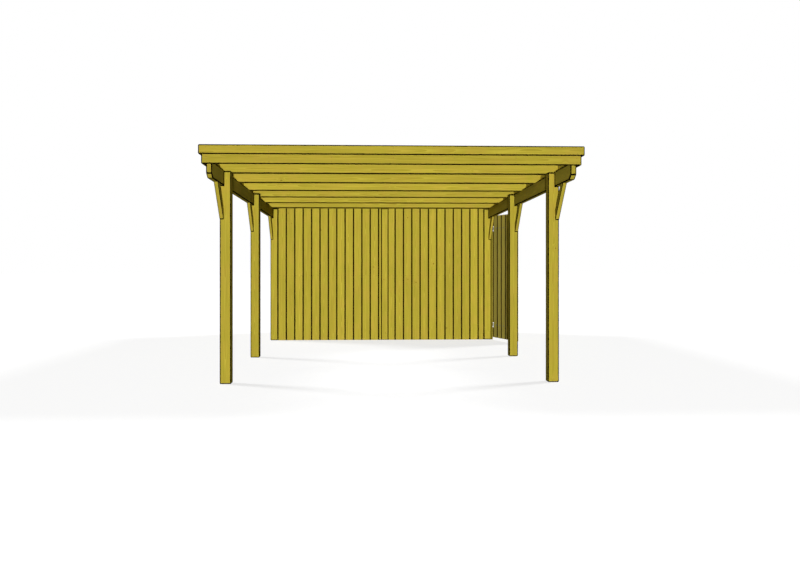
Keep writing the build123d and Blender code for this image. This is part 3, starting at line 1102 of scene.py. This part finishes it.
@dataclass
class RoofSheets:
    """Trapezoidal sheets laid side by side: each laps the next by a rib, with stiffening grooves
    rolled into its pans."""

    materials: Materials
    fixings: Fixings
    pitch: float = 205 * MM         # from rib to rib
    rib: float = 34 * MM            # height of a rib over the pans
    crest: float = 60 * MM          # its width at the top
    foot: float = 105 * MM          # and at the bottom
    count: int = 18                 # ribs across the roof
    sheet_ribs: int = 5             # ribs that one sheet covers
    thickness: float = 0.7 * MM
    lap: float = 0.9 * MM           # how far the lapping rib is lifted
    lip: float = 9 * MM             # flat edge beside the lapping rib
    groove: float = 2 * MM          # height of the stiffening grooves
    groove_w: float = 8 * MM        # from a groove's middle to its side
    groove_aside: float = 24 * MM   # from the pan's middle to each groove
    stitches: int = 12              # screws down each lap
    stitch_start: float = 0.35      # from the sheet's front edge
    stitch_step: float = 0.6

    def middle(self, rib: int) -> float:
        """Where a rib's middle is across the roof, from its number."""
        return (rib - (self.count - 1) / 2) * self.pitch

    def profile(self, first: int, last: int) -> list[tuple[float, float]]:
        """Draws a sheet's section from one rib to another.

        Args:
            first: number of the rib at its left edge, which laps the neighbour.
            last: number of the rib at its right edge.

        Returns:
            Points across the sheet, with heights over the rafters.
        """
        points = []
        for rib in range(first, last + 1):
            middle = self.middle(rib)
            lift = self.lap if rib == first and first else 0.0
            if rib > first:
                for aside in (-self.groove_aside, self.groove_aside):
                    groove = middle - self.pitch / 2 + aside
                    points += [(groove - self.groove_w, 0), (groove, self.groove),
                               (groove + self.groove_w, 0)]
            elif rib:
                points.append((middle - self.foot / 2 - self.lip, lift))
            else:
                points.append((middle - self.pitch / 2, 0))
            points += [(middle - self.foot / 2, lift), (middle - self.crest / 2, self.rib + lift),
                       (middle + self.crest / 2, self.rib + lift), (middle + self.foot / 2, 0)]
        end = self.pitch / 2 if last == self.count - 1 else self.foot / 2 + self.lip
        points.append((self.middle(last) + end, 0))
        return points

    def sheet(self, first: int, last: int, start: Vector, length: float) -> bmesh.types.BMesh:
        """Rolls one sheet.

        Args:
            first: number of the rib at its left edge.
            last: number of the rib at its right edge.
            start: the underside of its pans at the roof's front edge.
            length: how long it is.

        Returns:
            The sheet's mesh.
        """
        bm = bmesh.new()
        corners = [bm.verts.new(start + X * x + Z * z) for x, z in self.profile(first, last)]
        edges = [bm.edges.new(pair) for pair in zip(corners, corners[1:])]
        rolled = bmesh.ops.extrude_edge_only(bm, edges=edges)
        far = [part for part in rolled["geom"] if isinstance(part, bmesh.types.BMVert)]
        bmesh.ops.translate(bm, verts=far, vec=Vector((0, length, -FALL * length)))
        bmesh.ops.recalc_face_normals(bm, faces=bm.faces)
        if sum(face.normal.z for face in bm.faces) < 0:
            bmesh.ops.reverse_faces(bm, faces=bm.faces)
        bmesh.ops.solidify(bm, geom=bm.faces, thickness=-self.thickness)
        bmesh.ops.recalc_face_normals(bm, faces=bm.faces)
        return bm

    def build(self) -> None:
        """Lays the sheets and screws them down: in every pan over the first and last rafters, in
        every other pan over the rest, and down each lap."""
        low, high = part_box("roof_sheet")
        start = Vector((0, low.y, high.z - self.rib - self.thickness))
        length = high.y - low.y
        firsts = range(0, self.count, self.sheet_ribs)
        for number, first in enumerate(firsts):
            last = min(first + self.sheet_ribs, self.count - 1)
            replaced = ("roof_sheet",) if number == 0 else ()
            put_in_scene(self.sheet(first, last, start, length), f"roof_sheet_{number + 1}",
                         self.materials.sheet, Body.CARPORT, replaced)
        up = Vector((0, FALL, 1))
        for index in range(RAFTERS):
            y = middle_of(f"rafter_{index}").y
            pan = start.z - FALL * (y - start.y) + self.thickness
            step = 1 if index in (0, RAFTERS - 1) else 2
            for rib in range(index % 2, self.count - 1, step):
                x = self.middle(rib) + self.pitch / 2
                self.fixings.add(Head.ROOF_SCREW, Vector((x, y, pan)), up)
        for first in list(firsts)[1:]:
            for stitch in range(self.stitches):
                y = start.y + self.stitch_start + stitch * self.stitch_step
                crest = start.z - FALL * (y - start.y) + self.rib + self.lap + self.thickness
                self.fixings.add(Head.ROOF_SCREW, Vector((self.middle(first), y, crest)), up)


@dataclass
class StoreDoor:
    """The ledged and braced leaf, standing open, with its straps, pintles and handle."""

    materials: Materials
    fixings: Fixings
    cladding: Cladding
    first_joint: float = 27 * MM        # from the pin
    ledge_h: float = 110 * MM
    brace_spread: float = 120 * MM      # level length of the brace's ends
    brace_inset: float = 20 * MM        # from the ledges' ends
    brace_screws: tuple[float, ...] = (0.12, 0.3, 0.5, 0.7, 0.88)       # shares of its length
    # shares of the board's width and of the ledge's height
    ledge_screws: tuple[tuple[float, float], ...] = ((0.25, 0.27), (0.75, 0.73))
    ledge_end: float = 15 * MM          # without a screw, at each end of a ledge
    arris: float = 3 * MM
    # how dark the painted shade on the arrises of the ledges and the brace is
    shade_depth: float = 0.9
    pith: float = 40 * MM
    spread: float = 0.05
    tone: float = 0.88                  # painted shade on the boards, which face away from the light
    strap_h: float = 40 * MM
    cut_below: float = 24 * MM          # the boards' cut-outs round the eyes, from the strap's foot
    cut_above: float = 54 * MM
    bolt_places: tuple[float, ...] = (130 * MM, 250 * MM, 372 * MM)     # from the pin
    strap_screw: float = 55 * MM
    pintle_plate: float = 3 * MM        # thickness
    pintle_screws: tuple[float, ...] = (38 * MM, 76 * MM)       # below the strap's foot
    handle_screw: float = 5 * MM        # from the handle's ends
    forged_edge: float = 0.5 * MM
    dice: random.Random = field(default_factory=lambda: random.Random(5))

    def __post_init__(self) -> None:
        """Finds the pin and the leaf's directions from the hinge's closed limit."""
        hinge = next(joint for joint in frame["joints"] if joint["name"] == "store_door_hinge")
        opened = Matrix.Rotation(-math.radians(hinge["range_deg"][1]), 3, "Z")
        self.pin = Vector(hinge["pos_m"]) * Vector((1, 1, 0))
        self.along = opened @ Y
        self.outward = opened @ X
        low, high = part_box("hinge_straps")
        self.strap_levels = (low.z, high.z - self.strap_h)

    def boards(self) -> None:
        """Builds the leaf's boards, the narrow one cut away round the eyes."""
        low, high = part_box("door_boards")
        back, front = span("door_boards", self.outward)
        start, end = span("door_boards", self.along)
        first = self.pin.dot(self.along) + self.first_joint
        edges = self.cladding.joints(start, end, first - start)
        cuts = [low.z]
        for level in self.strap_levels:
            cuts += [level - self.cut_below, level + self.cut_above]
        cuts.append(high.z)
        leaf = Workpiece()
        for number, (near, far) in enumerate(zip(edges, edges[1:])):
            stretches = zip(cuts[::2], cuts[1::2]) if number == 0 else ((low.z, high.z),)
            pith = self.dice.uniform(*self.cladding.pith_mm) * MM
            for foot, top in stretches:
                board = self.cladding.board(near, far, back, front, self.along, self.outward, foot,
                                            (top, top), plain_start=number == 0)
                board.lay_grain((Z, self.along), self.dice, pith, self.cladding.shade, self.tone)
                leaf.take_in(board)
        put_in_scene(leaf.bm, "door_boards_cut", self.materials.door, Body.DOOR,
                     ("door_boards",))
        self.screw_ledges(edges[1:])

    def screw_ledges(self, edges: list[float]) -> None:
        """Screws the boards to the ledges, two screws a board, seen on the ledged side.

        Args:
            edges: where the boards meet, measured along the leaf.
        """
        low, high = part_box("door_ledges")
        face = span("door_ledges", -self.outward)[1]
        start, end = span("door_ledges", self.along)
        for bottom in (low.z, high.z - self.ledge_h):
            for near, far in zip(edges, edges[1:]):
                for share, rise in self.ledge_screws:
                    place = near + (far - near) * share
                    if start + self.ledge_end < place < end - self.ledge_end:
                        spot = (self.along * place - self.outward * face
                                + Z * (bottom + self.ledge_h * rise))
                        self.fixings.add(Head.COUNTERSUNK, spot, -self.outward, Body.DOOR)

    def ledges(self) -> None:
        """Builds the two ledges and the brace between them."""
        low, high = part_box("door_ledges")
        start, end = span("door_ledges", self.along)
        near, far = span("door_ledges", self.outward)
        sweep = self.outward * (far - near)
        face = self.outward * near
        ledges = Workpiece()
        for bottom in (low.z, high.z - self.ledge_h):
            corners = ((start, bottom), (end, bottom), (end, bottom + self.ledge_h),
                       (start, bottom + self.ledge_h))
            ledges.prism([face + self.along * u + Z * z for u, z in corners], sweep)
        foot, head = low.z + self.ledge_h, high.z - self.ledge_h
        first, last = start + self.brace_inset, end - self.brace_inset
        corners = ((first, foot), (first + self.brace_spread, foot), (last, head),
                   (last - self.brace_spread, head))
        brace = Workpiece()
        brace.prism([face + self.along * u + Z * z for u, z in corners], sweep)
        slant = (self.along * (last - first - self.brace_spread) + Z * (head - foot)).normalized()
        across = slant.cross(self.outward)
        for timber, axes in ((ledges, (self.along, Z)), (brace, (slant, across))):
            timber.round_arrises(self.arris, self.shade_depth)
            timber.lay_grain(axes, self.dice, self.pith, self.spread)
        ledges.take_in(brace)
        put_in_scene(ledges.bm, "door_ledges_and_brace", self.materials.door, Body.DOOR,
                     ("door_ledges",), smooth_under=SMOOTH_WOOD)
        foot_mid, head_mid = first + self.brace_spread / 2, last - self.brace_spread / 2
        for share in self.brace_screws:
            spot = (face + self.along * (foot_mid + share * (head_mid - foot_mid))
                    + Z * (foot + share * (head - foot)))
            self.fixings.add(Head.COUNTERSUNK, spot, -self.outward, Body.DOOR)

    def ironwork(self) -> None:
        """Finishes the straps, pintles and handle: forged edges on the flat iron, while the
        handle's rod is round already."""
        for node, body, edge_on in (("hinge_straps", Body.DOOR, True),
                                    ("hinge_pintles", Body.CARPORT, True),
                                    ("door_handle", Body.DOOR, False)):
            piece = Workpiece(node)
            if edge_on:
                sharp = [edge for edge in piece.bm.edges if edge.calc_face_angle(0.0) > SHARP]
                bmesh.ops.bevel(piece.bm, geom=sharp, offset=self.forged_edge, segments=1,
                                profile=0.5, affect="EDGES", clamp_overlap=True, material=-1)
            put_in_scene(piece.bm, f"{node}_forged", self.materials.zinc, body,
                         (node,), smooth_under=SMOOTH_IRON)

    def fasten(self) -> None:
        """Bolts and screws the straps, pintles and handle."""
        outer = span("door_boards", self.outward)[1] - self.pin.dot(self.outward)
        inner = span("hinge_straps", -self.outward)[1] + self.pin.dot(self.outward)
        plate = span("door_stops", X)[1] + self.pintle_plate
        for level in self.strap_levels:
            centre = self.pin + Z * (level + self.strap_h / 2)
            for place in self.bolt_places:
                spot = centre + self.along * place
                self.fixings.add(Head.CUP, spot + self.outward * outer, self.outward, Body.DOOR)
                self.fixings.add(Head.NUT, spot - self.outward * inner, -self.outward, Body.DOOR)
            spot = centre + self.along * self.strap_screw - self.outward * inner
            self.fixings.add(Head.COUNTERSUNK, spot, -self.outward, Body.DOOR)
            for drop in self.pintle_screws:
                spot = Vector((plate, self.pin.y, level - drop))
                self.fixings.add(Head.COUNTERSUNK, spot, X)
        low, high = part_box("door_handle")
        middle = self.along * (sum(span("door_handle", self.along)) / 2)
        face = self.outward * (outer + self.pin.dot(self.outward))
        for level in (low.z + self.handle_screw, high.z - self.handle_screw):
            self.fixings.add(Head.ROSE, middle + face + Z * level, self.outward, Body.DOOR)

    def build(self) -> None:
        """Builds the whole leaf."""
        self.boards()
        self.ledges()
        self.ironwork()
        self.fasten()


@dataclass
class Studio:
    """Plain pale floor, soft light and the camera at the photograph's viewing angle."""

    image_width: int = 800              # pixels of the photograph
    image_height: int = 565
    focal_px: float = 842.4
    horizon_px: float = 259.44          # image row of the horizon
    eye: tuple[float, float, float] = (-0.2820, -13.767, 1.3079)
    yaw: float = 0.0426                 # turned to the right of the carport's axis, radians
    sensor_mm: float = 36.0
    sight: float = 200.0                # how far the camera sees
    front_power: float = 38.0
    front_place: tuple[float, float, float] = (-0.2820, -14.6, 0.95)
    front_radius: float = 0.08
    side_power: float = 3.0
    side_travel: tuple[float, float, float] = (0.72, -0.34, -0.60)      # of the left one's light
    side_width: float = 14.0            # in the sky, in degrees
    ambient: float = 0.03
    floor_reach: float = 60.0
    floor_drop: float = 1 * MM          # under the ground, so that it meets no foot
    floor_dull: float = 0.04            # as the light on the carport meets it
    floor_pale: float = 0.26            # as the eye sees it, with the glow
    floor_glow: float = 0.76

    def camera(self) -> None:
        """Stands the camera where the photograph was taken from."""
        data = bpy.data.cameras.new("photo camera")
        data.sensor_fit = "HORIZONTAL"
        data.sensor_width = self.sensor_mm
        data.lens = self.focal_px / self.image_width * self.sensor_mm
        data.shift_y = (self.horizon_px - self.image_height / 2) / self.image_width
        data.clip_end = self.sight
        eye = bpy.data.objects.new("photo camera", data)
        eye.location = self.eye
        eye.rotation_euler = (math.pi / 2, 0, -self.yaw)
        bpy.context.scene.collection.objects.link(eye)
        bpy.context.scene.camera = eye

    def front_lamp(self) -> None:
        """A lamp low behind the camera, as strong far away as near. It looks in under the roof as
        the camera does, so that the rafters and the door stand in no shadow where they are seen."""
        data = bpy.data.lights.new("front light", "POINT")
        data.energy = self.front_power
        data.shadow_soft_size = self.front_radius
        data.use_nodes = True
        tree = data.node_tree
        tree.nodes.clear()
        falloff = add_node(tree, "ShaderNodeLightFalloff", {"Strength": 1.0, "Smooth": 0.0})
        glow = add_node(tree, "ShaderNodeEmission", {"Strength": falloff.outputs["Constant"]})
        add_node(tree, "ShaderNodeOutputLight", {"Surface": glow.outputs[0]})
        lamp = bpy.data.objects.new("front light", data)
        lamp.location = self.front_place
        lamp.visible_camera = False
        bpy.context.scene.collection.objects.link(lamp)

    def side_lamps(self) -> None:
        """Two distant lamps, from high on the left and on the right behind the carport."""
        across, along, down = self.side_travel
        for name, travel in (("left light", (across, along, down)),
                             ("right light", (-across, along, down))):
            data = bpy.data.lights.new(name, "SUN")
            data.energy = self.side_power
            data.angle = math.radians(self.side_width)
            lamp = bpy.data.objects.new(name, data)
            lamp.rotation_euler = Vector(travel).to_track_quat("-Z", "Y").to_euler()
            bpy.context.scene.collection.objects.link(lamp)

    def seen(self, tree: bpy.types.NodeTree) -> bpy.types.NodeSocket:
        """Tells rays that show a surface to the eye from rays that only light the carport.

        Args:
            tree: the node tree.

        Returns:
            1 for rays straight from the camera or by way of gloss or glass, and 0 for the rest.
        """
        path = add_node(tree, "ShaderNodeLightPath")
        found = path.outputs["Is Camera Ray"]
        for ray in ("Is Glossy Ray", "Is Transmission Ray"):
            found = add_node(tree, "ShaderNodeMath", {0: found, 1: path.outputs[ray]},
                             operation="MAXIMUM").outputs[0]
        return found

    def world(self) -> None:
        """A dim even sky that the eye and reflections see as white."""
        world = bpy.data.worlds.new("studio")
        world.use_nodes = True
        tree = world.node_tree
        tree.nodes.clear()
        seen = self.seen(tree)
        dim, white = (
            add_node(tree, "ShaderNodeBackground", {"Color": (1, 1, 1, 1), "Strength": strength})
            for strength in (self.ambient, 1.0))
        mixed = add_node(tree, "ShaderNodeMixShader",
                         {0: seen, 1: dim.outputs[0], 2: white.outputs[0]})
        add_node(tree, "ShaderNodeOutputWorld", {"Surface": mixed.outputs[0]})
        bpy.context.scene.world = world

    def floor(self) -> None:
        """A wide pale floor: white to the eye but for the carport's shadow, and dull to light
        that bounces off it."""
        bm = bmesh.new()
        bmesh.ops.create_grid(bm, x_segments=1, y_segments=1, size=self.floor_reach)
        bmesh.ops.translate(bm, verts=bm.verts, vec=(0, 0, -self.floor_drop))
        mesh = bpy.data.meshes.new("floor")
        bm.to_mesh(mesh)
        bm.free()
        material, tree = blank_material("pale floor")
        seen = self.seen(tree)
        dull, pale = (add_node(tree, "ShaderNodeBsdfDiffuse", {"Color": (grey, grey, grey, 1)})
                      for grey in (self.floor_dull, self.floor_pale))
        glow = add_node(tree, "ShaderNodeEmission",
                        {"Color": (1, 1, 1, 1), "Strength": self.floor_glow})
        bright = add_node(tree, "ShaderNodeAddShader", {0: pale.outputs[0], 1: glow.outputs[0]})
        mixed = add_node(tree, "ShaderNodeMixShader",
                         {0: seen, 1: dull.outputs[0], 2: bright.outputs[0]})
        add_node(tree, "ShaderNodeOutputMaterial", {"Surface": mixed.outputs[0]})
        mesh.materials.append(material)
        floor = bpy.data.objects.new("floor", mesh)
        bpy.context.scene.collection.objects.link(floor)

    def build(self) -> None:
        """Sets up camera, light, floor and view."""
        self.camera()
        self.front_lamp()
        self.side_lamps()
        self.world()
        self.floor()
        bpy.context.scene.view_settings.view_transform = "Standard"


def main() -> None:
    """Builds the scene, one sub-assembly after another."""
    logging.basicConfig(level=logging.INFO, format="%(name)s %(message)s")
    materials = Materials()
    fixings = Fixings(materials)
    leaf_boards = Cladding(materials, fixings, pitch=136 * MM, joint=28 * MM)
    Studio().build()
    for part in (Frame(materials, fixings), StoreFrame(materials, fixings),
                 Cladding(materials, fixings), RoofSheets(materials, fixings),
                 StoreDoor(materials, fixings, leaf_boards), fixings):
        log.info("%s", type(part).__name__)
        part.build()


if __name__ == "__main__":
    main()
